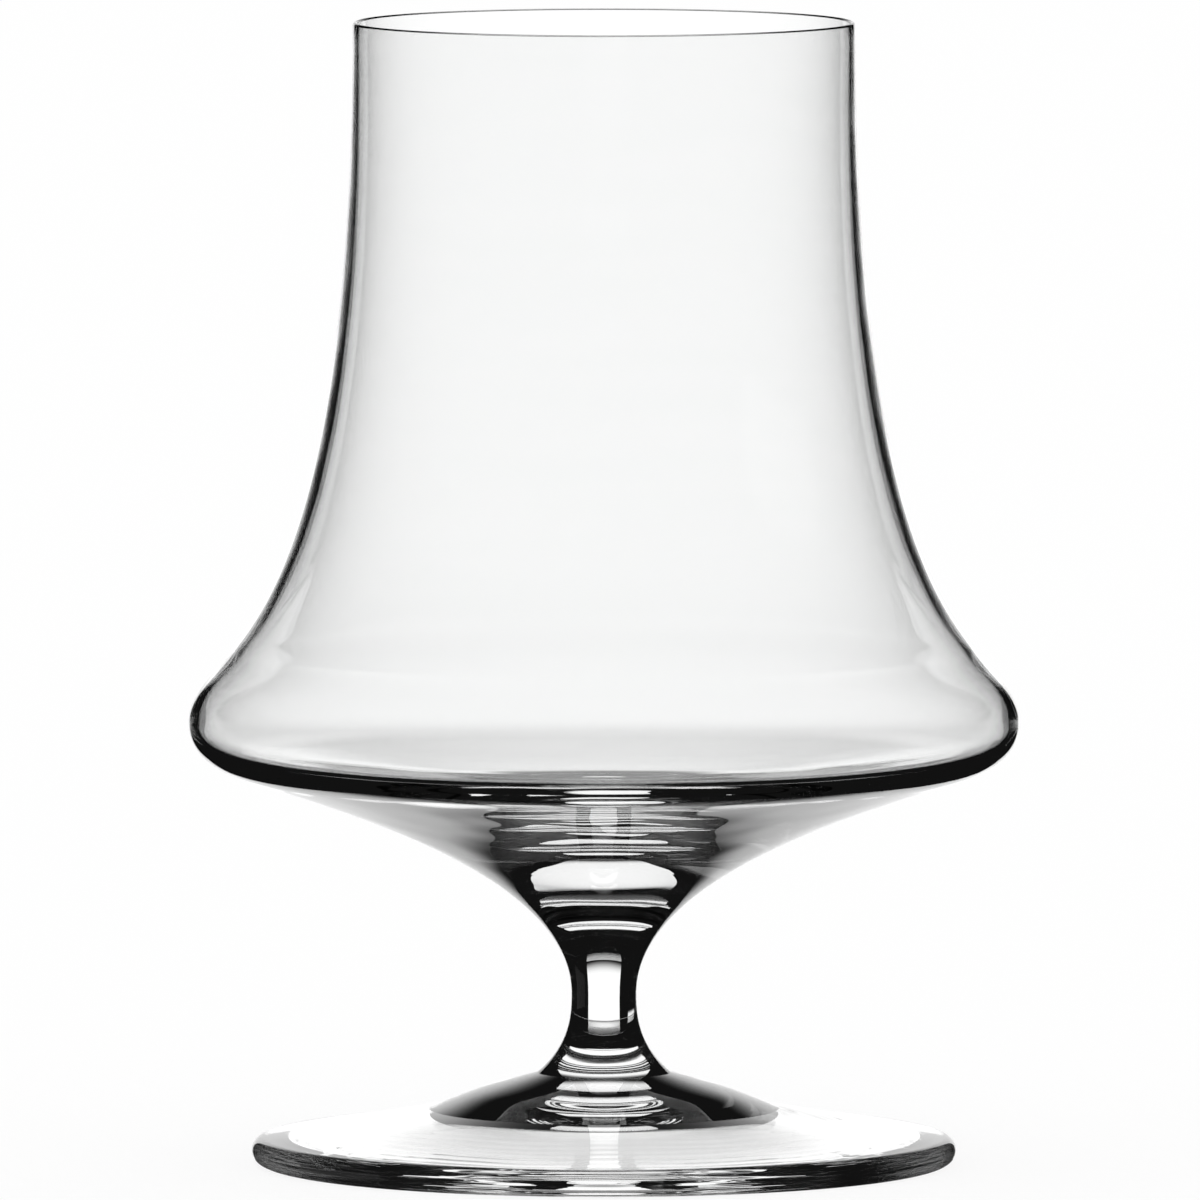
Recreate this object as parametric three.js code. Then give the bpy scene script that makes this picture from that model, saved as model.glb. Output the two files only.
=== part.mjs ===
import * as THREE from "three";

// Stemmed whisky glass in clear crystal: a blown bowl whose wide belly draws in to a tall
// chimney, a short drawn stem and a spread foot, joined hot at two flat weld faces.
// Millimetres, +Z up. The origin is on the resting plane, under the middle of the foot.

// Heights of the three pieces, which stack foot, stem, bowl
const footHeight = 10.4;
const stemLength = 19.6;
const bowlHeight = 100;

// Bowl, outside
const rimRadius = 28.5;
const bellyRadius = 47.2;
const bellyRise = 20.4; // widest ring, above the bowl's weld face
const shoulderInset = 5.2; // ring where the chimney meets the belly: inside the widest radius
const shoulderRise = 8.4; // and above the widest ring
const shoulderLean = 32.8; // lean of the wall there, in degrees from upright
const underbowlInset = 7.4; // ring where the belly has turned under: inside the widest radius
const underbowlDrop = 6.6; // and below the widest ring
const underbowlSlope = 17.5; // slope of the wall there, in degrees from level

// Bowl, inside
const rimWall = 0.55; // thickness of the wall at its half-round lip
const rimTaper = 1; // inward lean of the inside just below the rim, in degrees from upright
const shoulderWall = 1.05;
const bellyWall = 1.1;
const underbowlWall = 1.7;
const floorEdgeRadius = 26; // ring where the wall runs out on to the inside floor
const floorEdgeRise = 3.2; // and its height above the middle of that floor
const floorEdgeSlope = 15.5; // slope of the floor there, in degrees from level
const floorFlatRadius = 15; // ring inside which the floor is all but level
const floorFlatRise = 0.4; // and its height above the middle
const floorFlatSlope = 4; // slope of the floor there
const floorThickness = 8.4; // solid glass between the weld face and the middle of the floor

// Stem
const bowlWeldRadius = 9.7;
const bowlWeldSlope = 40; // slope of the trumpet at the bowl's weld, in degrees from level
const neckRadius = 3.7;
const neckRise = 9; // thinnest ring, above the foot's weld face
const footWeldRadius = 7.6;
const footWeldFlare = 50; // lean of the stem at the foot's weld, in degrees from upright

// Foot: a crown under the stem, bent sharply to a flatter plate
const footRadius = 40.1;
const footEdge = 3.1; // thickness of the foot at its rounded edge
const crownRadius = 19.9; // ring where the crown bends to the plate
const crownHeight = 4.1; // from that ring up to the weld face
const crownTopSlope = 15.4; // slope of the crown at the weld, in degrees from level
const crownRimSlope = 20.4; // and at the bend
const plateSlope = 11; // slope of the plate at the bend
const brimSlope = 5; // and at the rounded edge

// Foot, underneath: a flat ring to stand on, a hollow, and a low button in the middle of it
const restWidth = 3;
const hollowSlope = 6; // slope of the hollow at the flat ring, in degrees from level
const hollowBendRadius = 20; // ring of the hollow below the bend of the crown
const hollowBendRise = 2.7; // and its height above the resting plane
const hollowBendSlope = 11; // slope of the hollow there
const hollowRadius = 13; // highest ring of the hollow
const hollowRise = 3.4; // and its height above the resting plane
const buttonRadius = 7; // ring half-way down the button's side
const buttonSlope = 15; // slope of the side there
const buttonDrop = 1; // from the hollow's highest ring down to that ring
const buttonBelly = 0.7; // from that ring down to the button's middle

// Facets round the axis
const sides = 48;

const footWeldHeight = footHeight;
const bowlWeldHeight = footWeldHeight + stemLength;
const rimHeight = bowlWeldHeight + bowlHeight;
const bellyHeight = bowlWeldHeight + bellyRise;

// A ring of a profile: its radius and height, and the way that the outline travels through it,
// in degrees from straight down, positive outwards.
function ring(radius, height, heading) {
  const turn = THREE.MathUtils.degToRad(heading);
  return {
    point: new THREE.Vector2(radius, height),
    way: new THREE.Vector2(Math.sin(turn), -Math.cos(turn)),
  };
}

// The ring that faces another one across the wall: moved towards the axis, square to the outline.
function acrossWall(outer, wall) {
  const inwards = new THREE.Vector2(outer.way.y, -outer.way.x);
  return { point: outer.point.clone().addScaledVector(inwards, wall), way: outer.way };
}

// Points of the smooth stretch between two rings. A reach is the share of the straight distance
// between them for which the curve keeps to that ring's way.
function stretch(from, to, fromReach, toReach, steps) {
  const span = from.point.distanceTo(to.point);
  const leaving = from.point.clone().addScaledVector(from.way, fromReach * span);
  const arriving = to.point.clone().addScaledVector(to.way, -toReach * span);
  return new THREE.CubicBezierCurve(from.point, leaving, arriving, to.point).getPoints(steps);
}

// Points of a circular arc between two angles, in degrees from the radius, up being positive.
function arc(centreRadius, centreHeight, radius, fromAngle, toAngle, steps) {
  const points = [];
  for (let step = 0; step <= steps; step += 1) {
    const angle = THREE.MathUtils.degToRad(fromAngle + ((toAngle - fromAngle) * step) / steps);
    points.push(
      new THREE.Vector2(
        centreRadius + radius * Math.cos(angle),
        centreHeight + radius * Math.sin(angle),
      ),
    );
  }
  return points;
}

// One outline from several stretches, with each shared end point kept once.
function outline(...stretches) {
  const points = [];
  for (const point of stretches.flat()) {
    const last = points.at(-1);
    if (!last || last.distanceTo(point) > 1e-6) points.push(point);
  }
  return points;
}

function onAxis(height) {
  return [new THREE.Vector2(0, height)];
}

// A solid turned about the upright axis from an outline that runs downwards on its outside.
function turned(name, points, material) {
  const geometry = new THREE.LatheGeometry(points.toReversed(), sides);
  geometry.rotateX(Math.PI / 2);
  const mesh = new THREE.Mesh(geometry, material);
  mesh.name = name;
  return mesh;
}

function crystal(tint) {
  return new THREE.MeshStandardMaterial({
    color: tint,
    roughness: 0.02,
    metalness: 0,
    transparent: true,
    opacity: 0.35,
  });
}

// The blown bowl: up the inside from the middle of the floor, over the lip, down the outside.
function makeBowl() {
  const rim = ring(rimRadius, rimHeight, 0);
  const shoulder = ring(bellyRadius - shoulderInset, bellyHeight + shoulderRise, shoulderLean);
  const belly = ring(bellyRadius, bellyHeight, 0);
  const underbowl = ring(
    bellyRadius - underbowlInset,
    bellyHeight - underbowlDrop,
    underbowlSlope - 90,
  );
  const weld = ring(bowlWeldRadius, bowlWeldHeight, bowlWeldSlope - 90);

  const innerRim = ring(rimRadius - rimWall, rimHeight, -rimTaper);
  const innerShoulder = acrossWall(shoulder, shoulderWall);
  const innerBelly = acrossWall(belly, bellyWall);
  const innerUnderbowl = acrossWall(underbowl, underbowlWall);
  const floorHeight = bowlWeldHeight + floorThickness;
  const floorEdge = ring(floorEdgeRadius, floorHeight + floorEdgeRise, floorEdgeSlope - 90);
  const floorFlat = ring(floorFlatRadius, floorHeight + floorFlatRise, floorFlatSlope - 90);
  const floorMiddle = ring(0, floorHeight, -90);

  const lipRadius = rimWall / 2;
  const lip = arc(rimRadius - lipRadius, rimHeight - lipRadius, lipRadius, 180, 0, 8);
  const belowLip = (point) => point.y < lip[0].y;

  const inside = outline(
    stretch(innerRim, innerShoulder, 0.79, 0.06, 14).filter(belowLip),
    stretch(innerShoulder, innerBelly, 0.3, 0.34, 6),
    stretch(innerBelly, innerUnderbowl, 0.43, 0.37, 7),
    stretch(innerUnderbowl, floorEdge, 0.33, 0.33, 4),
    stretch(floorEdge, floorFlat, 0.33, 0.33, 5),
    stretch(floorFlat, floorMiddle, 0.33, 0.33, 4),
  );
  const outside = outline(
    stretch(rim, shoulder, 0.79, 0.06, 14).filter(belowLip),
    stretch(shoulder, belly, 0.3, 0.34, 6),
    stretch(belly, underbowl, 0.43, 0.37, 7),
    stretch(underbowl, weld, 0.44, 0.24, 8),
  );
  const profile = outline(inside.toReversed(), lip, outside, onAxis(bowlWeldHeight));
  return turned("bowl", profile, crystal(0xf4f7f6));
}

// The drawn stem: a trumpet under the bowl, a waist, and a flare on to the foot.
function makeStem() {
  const bowlWeld = ring(bowlWeldRadius, bowlWeldHeight, bowlWeldSlope - 90);
  const neck = ring(neckRadius, footWeldHeight + neckRise, 0);
  const footWeld = ring(footWeldRadius, footWeldHeight, footWeldFlare);
  const profile = outline(
    onAxis(bowlWeldHeight),
    stretch(bowlWeld, neck, 0.42, 0.31, 9),
    stretch(neck, footWeld, 0.22, 0.51, 8),
    onAxis(footWeldHeight),
  );
  return turned("stem", profile, crystal(0xf2f5f5));
}

// The spread foot: a crown, a plate with a rounded edge, a flat ring and the hollow with its button.
function makeFoot() {
  const edgeRadius = footEdge / 2;
  const edgeMiddle = footRadius - edgeRadius;
  const edge = arc(edgeMiddle, edgeRadius, edgeRadius, 90 - brimSlope, -90, 8);
  const weld = ring(footWeldRadius, footWeldHeight, 90 - crownTopSlope);
  const bendHeight = footWeldHeight - crownHeight;
  const crownRim = ring(crownRadius, bendHeight, 90 - crownRimSlope);
  const plateTop = ring(crownRadius, bendHeight, 90 - plateSlope);
  const brim = ring(edge[0].x, edge[0].y, 90 - brimSlope);

  const hollowEdge = ring(edgeMiddle - restWidth, 0, -90 - hollowSlope);
  const hollowBend = ring(hollowBendRadius, hollowBendRise, -90 - hollowBendSlope);
  const hollowTop = ring(hollowRadius, hollowRise, -90);
  const buttonSide = ring(buttonRadius, hollowRise - buttonDrop, buttonSlope - 90);
  const buttonMiddle = ring(0, hollowRise - buttonDrop - buttonBelly, -90);
  const profile = outline(
    onAxis(footWeldHeight),
    stretch(weld, crownRim, 0.66, 0.46, 5),
    stretch(plateTop, brim, 0.3, 0.24, 5),
    edge,
    stretch(hollowEdge, hollowBend, 0.33, 0.33, 5),
    stretch(hollowBend, hollowTop, 0.33, 0.33, 4),
    stretch(hollowTop, buttonSide, 0.33, 0.33, 3),
    stretch(buttonSide, buttonMiddle, 0.33, 0.33, 3),
  );
  return turned("foot", profile, crystal(0xf3f6f5));
}

const glass = new THREE.Group();
glass.add(makeBowl(), makeStem(), makeFoot());

export default glass;
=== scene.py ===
import math

import bmesh
import bpy
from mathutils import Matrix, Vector
from mathutils.geometry import interpolate_bezier


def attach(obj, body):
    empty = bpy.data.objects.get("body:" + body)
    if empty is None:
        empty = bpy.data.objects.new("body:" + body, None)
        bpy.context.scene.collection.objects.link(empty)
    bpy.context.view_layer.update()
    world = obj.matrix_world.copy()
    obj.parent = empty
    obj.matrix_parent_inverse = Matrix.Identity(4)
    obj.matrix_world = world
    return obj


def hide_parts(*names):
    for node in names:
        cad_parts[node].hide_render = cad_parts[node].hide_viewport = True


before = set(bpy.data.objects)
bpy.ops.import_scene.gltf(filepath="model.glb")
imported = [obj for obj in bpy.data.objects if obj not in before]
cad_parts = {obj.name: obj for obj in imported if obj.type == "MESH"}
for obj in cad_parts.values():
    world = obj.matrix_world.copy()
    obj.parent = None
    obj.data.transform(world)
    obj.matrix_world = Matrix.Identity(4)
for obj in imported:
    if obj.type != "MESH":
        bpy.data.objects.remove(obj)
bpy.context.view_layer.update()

# Stemmed whisky glass in clear crystal, in front of bright panels.
# Sizes are millimetres, and mm turns them into metres.

mm = 0.001
plainWhite = (1.0, 1.0, 1.0, 1.0)
scene = bpy.context.scene
print("frame loaded with", ", ".join(sorted(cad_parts)))


# Shader maths

class Wire:  # one socket of a node tree, or only the tree
    def __init__(self, tree, socket=None):
        self.tree = tree
        self.socket = socket

    def node(self, kind, settings=None, sockets=None, out=0):
        made = self.tree.nodes.new("ShaderNode" + kind)
        for name, value in (settings or {}).items():
            setattr(made, name, value)
        for name, value in (sockets or {}).items():
            if isinstance(value, Wire):
                self.tree.links.new(value.socket, made.inputs[name])
            else:
                made.inputs[name].default_value = value
        return Wire(self.tree, made.outputs[out] if made.outputs else None)

    def other(self, out):  # another output of the same node
        return Wire(self.tree, self.socket.node.outputs[out])

    def axes(self):
        x = self.node("SeparateXYZ", {}, {0: self}, "X")
        return x, x.other("Y"), x.other("Z")

    def maths(self, operation, second=0.0):
        return self.node("Math", {"operation": operation}, {0: self, 1: second})

    def __add__(self, value):
        return self.maths("ADD", value)

    def __sub__(self, value):
        return self.maths("SUBTRACT", value)

    def __rsub__(self, value):
        return self.node("Math", {"operation": "SUBTRACT"}, {0: value, 1: self})

    def __mul__(self, value):
        return self.maths("MULTIPLY", value)

    def __abs__(self):
        return self.maths("ABSOLUTE")

    __radd__ = __add__
    __rmul__ = __mul__

    def noise(self, width, rise, detail):  # of this place, with spots this wide and tall, in millimetres
        size = (1 / (width * mm), 1 / (width * mm), 1 / (rise * mm))
        scaled = self.node("VectorMath", {"operation": "MULTIPLY"}, {0: self, 1: size})
        return self.node("TexNoise", {}, {"Vector": scaled, "Scale": 1.0, "Detail": detail}, "Fac")

    def fade(self, start, end):  # 1 up to start, then smoothly down to 0 at end
        return self.node("MapRange", {"interpolation_type": "SMOOTHSTEP"},
                         {"Value": self, "From Min": start, "From Max": end, "To Min": 1.0, "To Max": 0.0})


def emptyTree(owner):
    owner.use_nodes = True
    owner.node_tree.nodes.clear()
    return Wire(owner.node_tree)


# Profiles, in millimetres: radius and height

evenReaches = (0.33, 0.33)


def ring(radius, height, heading):  # heading is in degrees from straight down, outwards positive
    turn = math.radians(heading)
    return Vector((radius, height)), Vector((math.sin(turn), -math.cos(turn)))


def acrossWall(outer, wall):  # the ring that faces another one across the wall
    place, way = outer
    return place + wall * Vector((way.y, -way.x)), way


def stretch(start, end, reaches, steps):  # reaches are shares of the straight distance
    (startPlace, startWay), (endPlace, endWay) = start, end
    span = (endPlace - startPlace).length
    leaving = startPlace + reaches[0] * span * startWay
    arriving = endPlace - reaches[1] * span * endWay
    return interpolate_bezier(startPlace, leaving, arriving, endPlace, steps + 1)


def arc(centre, radius, fromAngle, toAngle, steps):
    angles = [math.radians(fromAngle + (toAngle - fromAngle) * k / steps) for k in range(steps + 1)]
    return [centre + radius * Vector((math.cos(a), math.sin(a))) for a in angles]


# Pieces turned about the upright axis

lathe = {"sides": 320, "creaseAngle": 4.0, "axisRadius": 1e-4}
clear, welded = 0, 1  # material numbers of each piece


def turnedRow(shape, point):
    radius, height = point * mm
    if point.x < lathe["axisRadius"]:
        return [shape.verts.new((0, 0, height))]
    spin = [2 * math.pi * s / lathe["sides"] for s in range(lathe["sides"])]
    return [shape.verts.new((radius * math.cos(a), radius * math.sin(a), height)) for a in spin]


def turnedPiece(name, runs, materials):
    # runs are (material number, points): an outline that starts and ends on the axis
    shape = bmesh.new()
    rows = [turnedRow(shape, runs[0][1][0])]
    slots = []
    creases = []
    lastWay = None
    for slot, points in runs:
        firstWay = points[1] - points[0]
        if lastWay is not None and math.degrees(firstWay.angle(lastWay)) > lathe["creaseAngle"]:
            creases.append(rows[-1])
        for point in points[1:]:
            rows.append(turnedRow(shape, point))
            slots.append(slot)
        lastWay = points[-1] - points[-2]
    for above, below, slot in zip(rows, rows[1:], slots):
        for s in range(lathe["sides"]):
            corners = [above[s % len(above)], below[s % len(below)],
                       below[(s + 1) % len(below)], above[(s + 1) % len(above)]]
            face = shape.faces.new(list(dict.fromkeys(corners)))
            face.smooth = True
            face.material_index = slot
    for row in creases:
        for s in range(lathe["sides"]):
            shape.edges.get((row[s - 1], row[s])).smooth = False
    bmesh.ops.recalc_face_normals(shape, faces=shape.faces[:])
    mesh = bpy.data.meshes.new(name)
    shape.to_mesh(mesh)
    shape.free()
    for material in materials:
        mesh.materials.append(material)
    piece = bpy.data.objects.new(name, mesh)
    scene.collection.objects.link(piece)
    return piece


# Glass

crystal = {
    "ior": 1.52, "clear": plainWhite, "cord": (0.982, 0.988, 0.985, 1.0),
    "cordWidth": 24.0, "cordRise": 3.0, "cordDetail": 3.0,  # cords are bands of denser glass
    "smearSize": 7.0, "smearRoughness": 0.008, "smearDetail": 4.0,
    "waveDetail": 1.0, "rippleDetail": 2.0, "rippleDetailScale": 0.4,
    "ringRepeat": math.pi / 10,  # a wave texture's rings are this far apart at scale 1
}


def clearCrystal(name, look):
    material = bpy.data.materials.new(name)
    start = emptyTree(material)
    place = start.node("TexCoord", out="Object")
    x, y, z = place.axes()
    cords = place.noise(crystal["cordWidth"], crystal["cordRise"], crystal["cordDetail"])
    # a colour mix has its colours at inputs 6 and 7 and its result at output 2
    tint = start.node("Mix", {"data_type": "RGBA"}, {0: cords, 6: crystal["clear"], 7: crystal["cord"]}, 2)
    smears = place.noise(crystal["smearSize"], crystal["smearSize"], crystal["smearDetail"])

    waves = place.noise(look["waveWidth"], look["waveRise"], crystal["waveDetail"])
    waveDepth = look["waveDepth"]
    if "wallDepth" in look:  # shallower waves in the wall above a thick bottom
        bottom = z.fade(*(edge * mm for edge in look["wallFrom"]))
        waveDepth = look["wallDepth"] + bottom * (look["waveDepth"] - look["wallDepth"])
    height = waves * waveDepth
    if "rippleDepth" in look:  # rings outside a plain middle
        rings = start.node("TexWave", {"wave_type": "RINGS", "rings_direction": "Z"}, {
            "Vector": place, "Scale": crystal["ringRepeat"] / (look["rippleWidth"] * mm),
            "Distortion": look["rippleBend"], "Detail": crystal["rippleDetail"],
            "Detail Scale": crystal["rippleDetailScale"]}, "Fac")
        radius = (x * x + y * y).maths("SQRT")
        outside = 1 - radius.fade(*(edge * mm for edge in look["rippleFrom"]))
        height = height + rings * outside * look["rippleDepth"]
    bump = start.node("Bump", {}, {"Strength": 1.0, "Distance": mm, "Height": height})

    shader = start.node("BsdfPrincipled", {}, {
        "Base Color": tint, "Roughness": smears * crystal["smearRoughness"], "IOR": crystal["ior"],
        "Transmission Weight": 1.0, "Normal": bump})
    start.node("OutputMaterial", {}, {"Surface": shader})
    return material


def weldedFace():  # inside the glass, where two pieces have run together and nothing shows
    material = bpy.data.materials.new("weldedFace")
    start = emptyTree(material)
    shader = start.node("BsdfPrincipled", {}, {"Base Color": crystal["clear"], "Alpha": 0.0})
    start.node("OutputMaterial", {}, {"Surface": shader})
    return material


weldGlass = weldedFace()


# Foot: crown, plate, rounded edge, flat ring, hollow and button

foot = {
    "height": 10.4, "weldRadius": 7.6,
    "radius": 40.1, "edge": 3.1, "edgeSteps": 32,
    "crownRadius": 19.9, "crownHeight": 4.1, "crownTopSlope": 15.4, "crownRimSlope": 20.4,
    "crownReaches": (0.66, 0.46),
    "plateSlope": 11.0, "brimSlope": 5.0, "plateReaches": (0.3, 0.24), "longSteps": 36,
    "restWidth": 3.0, "hollowSlope": 6.0,
    "hollowBendRadius": 20.0, "hollowBendRise": 2.7, "hollowBendSlope": 11.0,
    "hollowRadius": 13.0, "hollowRise": 3.4,
    "buttonRadius": 7.0, "buttonSlope": 15.0, "buttonDrop": 1.0, "buttonBelly": 0.7, "shortSteps": 24,
}


def footRuns(size):
    edgeRadius = size["edge"] / 2
    edgeMiddle = size["radius"] - edgeRadius
    edge = arc(Vector((edgeMiddle, edgeRadius)), edgeRadius,
               90 - size["brimSlope"], -90, size["edgeSteps"])
    weld = ring(size["weldRadius"], size["height"], 90 - size["crownTopSlope"])
    bendHeight = size["height"] - size["crownHeight"]
    crownRim = ring(size["crownRadius"], bendHeight, 90 - size["crownRimSlope"])
    plateTop = ring(size["crownRadius"], bendHeight, 90 - size["plateSlope"])
    brim = ring(*edge[0], 90 - size["brimSlope"])
    hollowEdge = ring(edgeMiddle - size["restWidth"], 0, -90 - size["hollowSlope"])
    hollowBend = ring(size["hollowBendRadius"], size["hollowBendRise"], -90 - size["hollowBendSlope"])
    hollowTop = ring(size["hollowRadius"], size["hollowRise"], -90)
    buttonHeight = size["hollowRise"] - size["buttonDrop"]
    buttonSide = ring(size["buttonRadius"], buttonHeight, size["buttonSlope"] - 90)
    buttonMiddle = ring(0, buttonHeight - size["buttonBelly"], -90)
    return [
        (welded, [Vector((0, size["height"])), weld[0]]),
        (clear, stretch(weld, crownRim, size["crownReaches"], size["longSteps"])),
        (clear, stretch(plateTop, brim, size["plateReaches"], size["longSteps"])),
        (clear, edge),
        (clear, [edge[-1], hollowEdge[0]]),
        (clear, stretch(hollowEdge, hollowBend, evenReaches, size["longSteps"])),
        (clear, stretch(hollowBend, hollowTop, evenReaches, size["shortSteps"])),
        (clear, stretch(hollowTop, buttonSide, evenReaches, size["shortSteps"])),
        (clear, stretch(buttonSide, buttonMiddle, evenReaches, size["shortSteps"])),
    ]


footLook = {"waveWidth": 14.0, "waveRise": 14.0, "waveDepth": 0.06,
            "rippleWidth": 1.9, "rippleBend": 3.0, "rippleDepth": 0.006, "rippleFrom": (22.0, 32.0)}
footPiece = turnedPiece("footGlass", footRuns(foot), [clearCrystal("footCrystal", footLook), weldGlass])
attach(footPiece, "root")
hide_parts("foot")
print("foot turned")


# Stem: trumpet, waist and flare

stem = {"length": 19.6, "bowlWeldRadius": 9.7, "bowlWeldSlope": 40.0,
        "neckRadius": 3.7, "neckRise": 9.0, "footWeldFlare": 50.0,
        "trumpetReaches": (0.42, 0.31), "flareReaches": (0.22, 0.51), "steps": 54}
bowlWeldHeight = foot["height"] + stem["length"]
bowlWeld = ring(stem["bowlWeldRadius"], bowlWeldHeight, stem["bowlWeldSlope"] - 90)


def stemRuns(size):
    neck = ring(size["neckRadius"], foot["height"] + size["neckRise"], 0)
    footWeld = ring(foot["weldRadius"], foot["height"], size["footWeldFlare"])
    return [
        (welded, [Vector((0, bowlWeldHeight)), bowlWeld[0]]),
        (clear, stretch(bowlWeld, neck, size["trumpetReaches"], size["steps"])),
        (clear, stretch(neck, footWeld, size["flareReaches"], size["steps"])),
        (welded, [footWeld[0], Vector((0, foot["height"]))]),
    ]


stemLook = {"waveWidth": 7.0, "waveRise": 7.0, "waveDepth": 0.06}
stemPiece = turnedPiece("stemGlass", stemRuns(stem), [clearCrystal("stemCrystal", stemLook), weldGlass])
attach(stemPiece, "root")
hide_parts("stem")
print("stem drawn")


# Bowl: inside from the floor up, over the lip, outside down to the weld

bowl = {
    "height": 100.0, "rimRadius": 28.5, "bellyRadius": 47.2, "bellyRise": 20.4,
    "shoulderInset": 5.2, "shoulderRise": 8.4, "shoulderLean": 32.8,
    "underbowlInset": 7.4, "underbowlDrop": 6.6, "underbowlSlope": 17.5,
    "rimWall": 0.55, "rimTaper": 1.0, "shoulderWall": 1.05, "bellyWall": 1.1, "underbowlWall": 1.7,
    "floorEdgeRadius": 26.0, "floorEdgeRise": 3.2, "floorEdgeSlope": 15.5,
    "floorFlatRadius": 15.0, "floorFlatRise": 0.4, "floorFlatSlope": 4.0,
    "floorThickness": 8.4,
    "chimneyReaches": (0.79, 0.06), "shoulderReaches": (0.3, 0.34),
    "bellyReaches": (0.43, 0.37), "trumpetReaches": (0.44, 0.24),
    "lipSteps": 32, "chimneySteps": 96, "bellySteps": 54, "trumpetSteps": 72, "floorSteps": 30,
}


def bowlRuns(size):
    rimHeight = bowlWeldHeight + size["height"]
    bellyHeight = bowlWeldHeight + size["bellyRise"]
    rim = ring(size["rimRadius"], rimHeight, 0)
    shoulder = ring(size["bellyRadius"] - size["shoulderInset"],
                    bellyHeight + size["shoulderRise"], size["shoulderLean"])
    belly = ring(size["bellyRadius"], bellyHeight, 0)
    underbowl = ring(size["bellyRadius"] - size["underbowlInset"],
                     bellyHeight - size["underbowlDrop"], size["underbowlSlope"] - 90)
    innerRim = ring(size["rimRadius"] - size["rimWall"], rimHeight, -size["rimTaper"])
    innerShoulder = acrossWall(shoulder, size["shoulderWall"])
    innerBelly = acrossWall(belly, size["bellyWall"])
    innerUnderbowl = acrossWall(underbowl, size["underbowlWall"])
    floorHeight = bowlWeldHeight + size["floorThickness"]
    floorEdge = ring(size["floorEdgeRadius"],
                     floorHeight + size["floorEdgeRise"], size["floorEdgeSlope"] - 90)
    floorFlat = ring(size["floorFlatRadius"],
                     floorHeight + size["floorFlatRise"], size["floorFlatSlope"] - 90)
    floorMiddle = ring(0, floorHeight, -90)

    lipRadius = size["rimWall"] / 2
    lipCentre = Vector((size["rimRadius"] - lipRadius, rimHeight - lipRadius))
    lip = arc(lipCentre, lipRadius, 180, 0, size["lipSteps"])

    def chimney(top, bottom):
        points = stretch(top, bottom, size["chimneyReaches"], size["chimneySteps"])
        return [point for point in points if point.y < lip[0].y]

    inside = [
        chimney(innerRim, innerShoulder),
        stretch(innerShoulder, innerBelly, size["shoulderReaches"], size["bellySteps"]),
        stretch(innerBelly, innerUnderbowl, size["bellyReaches"], size["bellySteps"]),
        stretch(innerUnderbowl, floorEdge, evenReaches, size["floorSteps"]),
        stretch(floorEdge, floorFlat, evenReaches, size["floorSteps"]),
        stretch(floorFlat, floorMiddle, evenReaches, size["floorSteps"]),
    ]
    outside = [
        chimney(rim, shoulder),
        stretch(shoulder, belly, size["shoulderReaches"], size["bellySteps"]),
        stretch(belly, underbowl, size["bellyReaches"], size["bellySteps"]),
        stretch(underbowl, bowlWeld, size["trumpetReaches"], size["trumpetSteps"]),
    ]
    return [
        *((clear, points[::-1]) for points in reversed(inside)),
        (clear, [inside[0][0], *lip, outside[0][0]]),
        *((clear, points) for points in outside),
        (welded, [bowlWeld[0], Vector((0, bowlWeldHeight))]),
    ]


bowlLook = {"waveWidth": 13.0, "waveRise": 9.0, "waveDepth": 0.2,
            "wallDepth": 0.02, "wallFrom": (41.0, 46.0)}
bowlPiece = turnedPiece("bowlGlass", bowlRuns(bowl), [clearCrystal("bowlCrystal", bowlLook), weldGlass])
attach(bowlPiece, "root")
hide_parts("bowl")
print("bowl blown")


# Camera, as the photograph was taken

view = {"distance": 2876.4, "height": 286.45, "target": (-0.45, 0.0, 64.25),
        "lens": 762.0, "sensor": 36.0, "farthest": 100000.0}


def makeCamera(size):
    data = bpy.data.cameras.new("camera")
    data.sensor_width = size["sensor"]
    data.sensor_fit = "HORIZONTAL"
    data.lens = size["lens"]
    data.clip_end = size["farthest"] * mm
    camera = bpy.data.objects.new("camera", data)
    scene.collection.objects.link(camera)
    camera.location = Vector((0, -size["distance"], size["height"])) * mm
    aim = Vector(size["target"]) * mm - camera.location
    camera.rotation_mode = "QUATERNION"
    camera.rotation_quaternion = aim.to_track_quat("-Z", "Y")
    scene.camera = camera


makeCamera(view)
print("camera placed")


# Studio: white panels behind the glass, black flags at their sides, a pale floor

studio = {
    "black": 0.006, "white": 1.0, "dome": 1.0,
    # heading from +Y towards +X, half width, lowest and highest elevation, in degrees
    "windows": [(-90.0, 3.0, -5.0, -1.0), (-45.0, 14.0, -45.0, -18.0), (135.0, 18.0, -40.0, -3.0),
                (0.0, 180.0, -90.0, -72.0)],
    "windowSoftness": 4.0,
    "noneToOne": (0.3, 0.7),  # a fade between a count of none and a count of one
    "floorSize": 6000.0, "floorDrop": 0.05, "floorColour": (0.97, 0.97, 0.97, 1.0), "floorGlow": 0.85,
    "bounces": 48, "clearBounces": 32,
}
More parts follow.
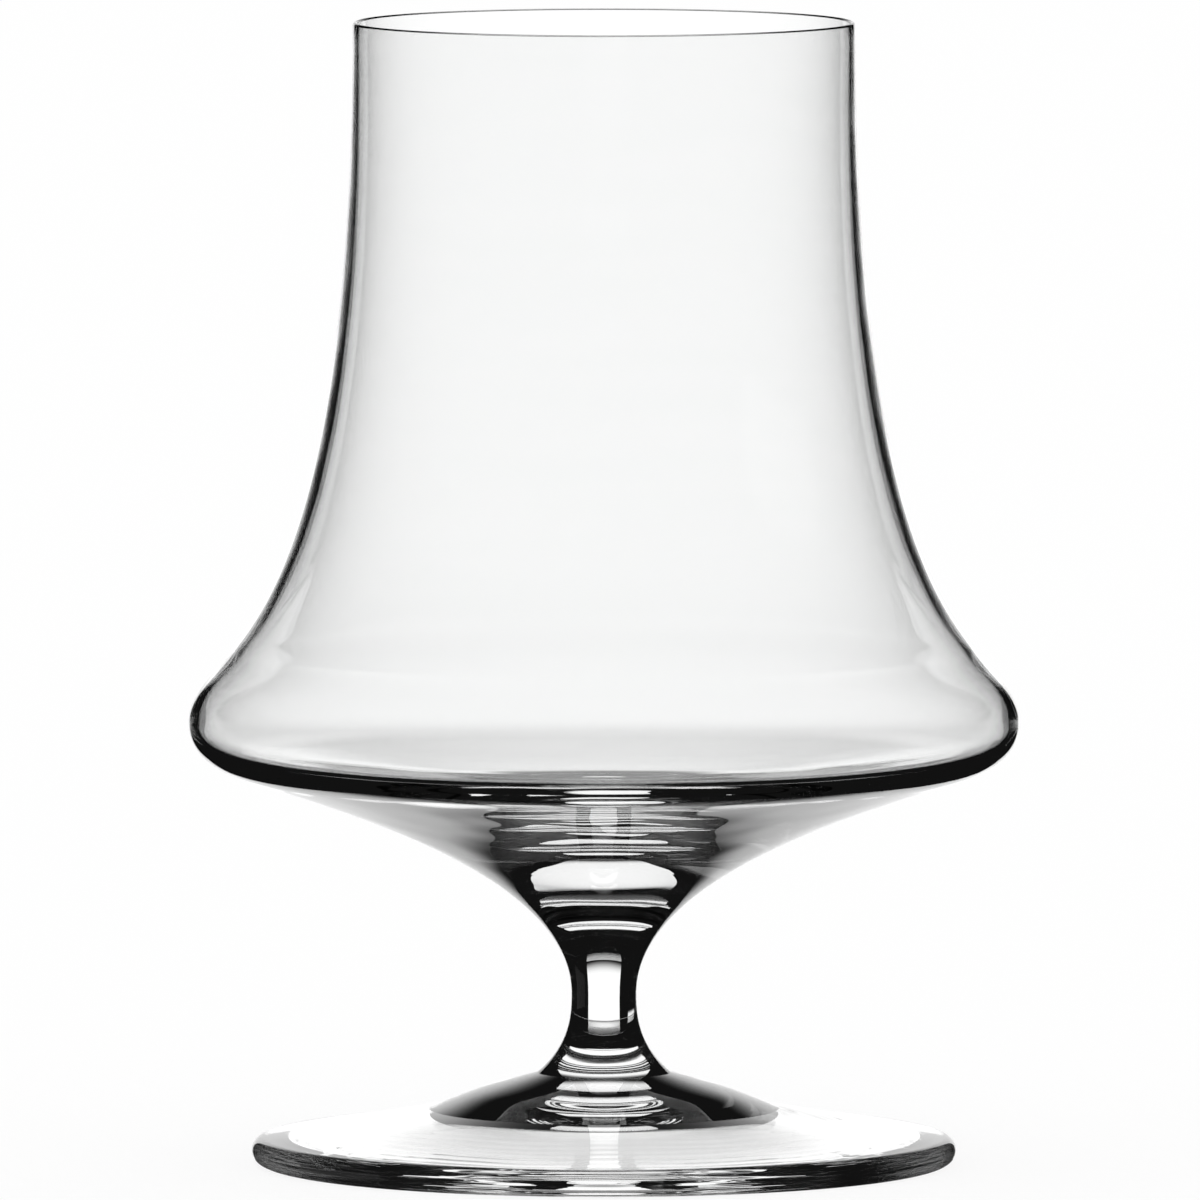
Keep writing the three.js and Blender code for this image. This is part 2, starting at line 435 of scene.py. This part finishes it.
# Upright cards, each at a heading and a distance from the axis, with its edges across and up.
# A glow is an ellipse's centre and radii, across and up, and where its light starts and ends fading.
# The far panel's ellipse is so wide that its light fades only upwards.
smallPanel = {"back": 165.0, "across": (-60.0, 60.0), "up": (-160.0, 18.0),
              "glowCentre": (0.0, 40.0), "glowRadii": (120.0, 118.0), "glowFade": (0.8, 1.2)}
flag = {"heading": 0.0, "back": 250.0, "up": (-300.0, 600.0)}
cards = {
    "nearPanel": {"heading": 0.0, **smallPanel, "light": 1.12},
    "farPanel": {"heading": 0.0, "back": 600.0, "across": (-370.0, 370.0), "up": (-95.0, 340.0),
                 "glowCentre": (0.0, 0.0), "glowRadii": (1e6, 340.0), "glowFade": (0.41, 1.0),
                 "light": 1.12},
    "sidePanel": {"heading": -90.0, **smallPanel, "light": 0.2},
    "flagRight": {**flag, "across": (91.0, 185.0)},
    "flagLeft": {**flag, "across": (-185.0, -91.0)},
}


def windowMask(direction, window):
    heading, halfWidth, lowest, highest = window
    turn = math.radians(heading)
    x, y, z = direction.axes()
    ahead = x * math.sin(turn) + y * math.cos(turn)
    aside = x * math.cos(turn) - y * math.sin(turn)
    bearing = abs(aside.maths("ARCTAN2", ahead))
    rise = z.maths("ARCSINE")
    soft = math.radians(studio["windowSoftness"])
    beside = math.radians(halfWidth)
    above, below = math.radians(highest), math.radians(lowest)
    level = rise.fade(above, above + soft) * (1 - rise.fade(below - soft, below))
    return bearing.fade(beside, beside + soft) * level


def makeWorld():
    world = bpy.data.worlds.new("studio")
    scene.world = world
    world.cycles.sampling_method = "NONE"
    start = emptyTree(world)
    direction = start.node("TexCoord", out="Generated")
    camera = start.node("LightPath", out="Is Camera Ray")
    fromFloor = 1 - camera.other("Diffuse Depth").fade(*studio["noneToOne"])
    unmirrored = camera.other("Glossy Depth").fade(*studio["noneToOne"])
    straightThrough = camera.other("Is Transmission Ray") * unmirrored
    windows = sum(windowMask(direction, window) for window in studio["windows"])
    dark, white, dome = (
        start.node("Background", {}, {"Color": plainWhite, "Strength": studio[name]})
        for name in ("black", "white", "dome"))
    seen = start.node("MixShader", {}, {0: camera + straightThrough * windows, 1: dark, 2: white})
    surface = start.node("MixShader", {}, {0: fromFloor, 1: seen, 2: dome})
    start.node("OutputWorld", {}, {"Surface": surface})


def staged(name, corners, material):
    mesh = bpy.data.meshes.new(name)
    mesh.from_pydata([Vector(c) * mm for c in corners], [], [range(len(corners))])
    mesh.materials.append(material)
    made = bpy.data.objects.new(name, mesh)
    scene.collection.objects.link(made)
    return made


def cardMaterial(name, card, turn):
    material = bpy.data.materials.new(name)
    start = emptyTree(material)
    surface = start.node("Emission", {}, {"Strength": studio["black"]})
    if "light" in card:
        x, y, z = start.node("NewGeometry", out="Position").axes()
        (centreAcross, centreUp), (radiusAcross, radiusUp) = card["glowCentre"], card["glowRadii"]
        across = (x * math.cos(turn) - y * math.sin(turn) - centreAcross * mm) * (1 / (radiusAcross * mm))
        up = (z - centreUp * mm) * (1 / (radiusUp * mm))
        lit = (across * across + up * up).maths("SQRT").fade(*card["glowFade"])
        white = start.node("Emission", {}, {"Strength": card["light"]})
        surface = start.node("MixShader", {}, {0: lit, 1: surface, 2: white})
    start.node("OutputMaterial", {}, {"Surface": surface})
    return material


def makeCards():  # the glass sees them, the camera and the floor don't
    for name, card in cards.items():
        turn = math.radians(card["heading"])
        ahead = Vector((math.sin(turn), math.cos(turn), 0)) * card["back"]
        aside = Vector((math.cos(turn), -math.sin(turn), 0))
        (left, right), (bottom, top) = card["across"], card["up"]
        edge = [(left, bottom), (right, bottom), (right, top), (left, top)]
        corners = [ahead + aside * across + Vector((0, 0, up)) for across, up in edge]
        made = staged(name, corners, cardMaterial(name, card, turn))
        made.visible_camera = False
        made.visible_diffuse = False
        made.visible_shadow = False


def makeFloor():
    material = bpy.data.materials.new("paleFloor")
    start = emptyTree(material)
    lit = start.node("BsdfDiffuse", {}, {"Color": studio["floorColour"]})
    white = start.node("Emission", {}, {"Strength": studio["white"]})
    camera = start.node("LightPath", out="Is Camera Ray")
    surface = start.node("MixShader", {}, {0: camera * studio["floorGlow"], 1: lit, 2: white})
    start.node("OutputMaterial", {}, {"Surface": surface})
    half, low = studio["floorSize"] / 2, -studio["floorDrop"]
    corners = [(-half, -half, low), (half, -half, low), (half, half, low), (-half, half, low)]
    floor = staged("floor", corners, material)
    floor.visible_transmission = False
    floor.visible_glossy = False


makeWorld()
makeCards()
makeFloor()
scene.view_settings.view_transform = "Standard"
scene.cycles.max_bounces = studio["bounces"]
scene.cycles.glossy_bounces = studio["bounces"]
scene.cycles.transmission_bounces = studio["bounces"]
scene.cycles.transparent_max_bounces = studio["clearBounces"]
scene.cycles.use_denoising = True
print("studio set")
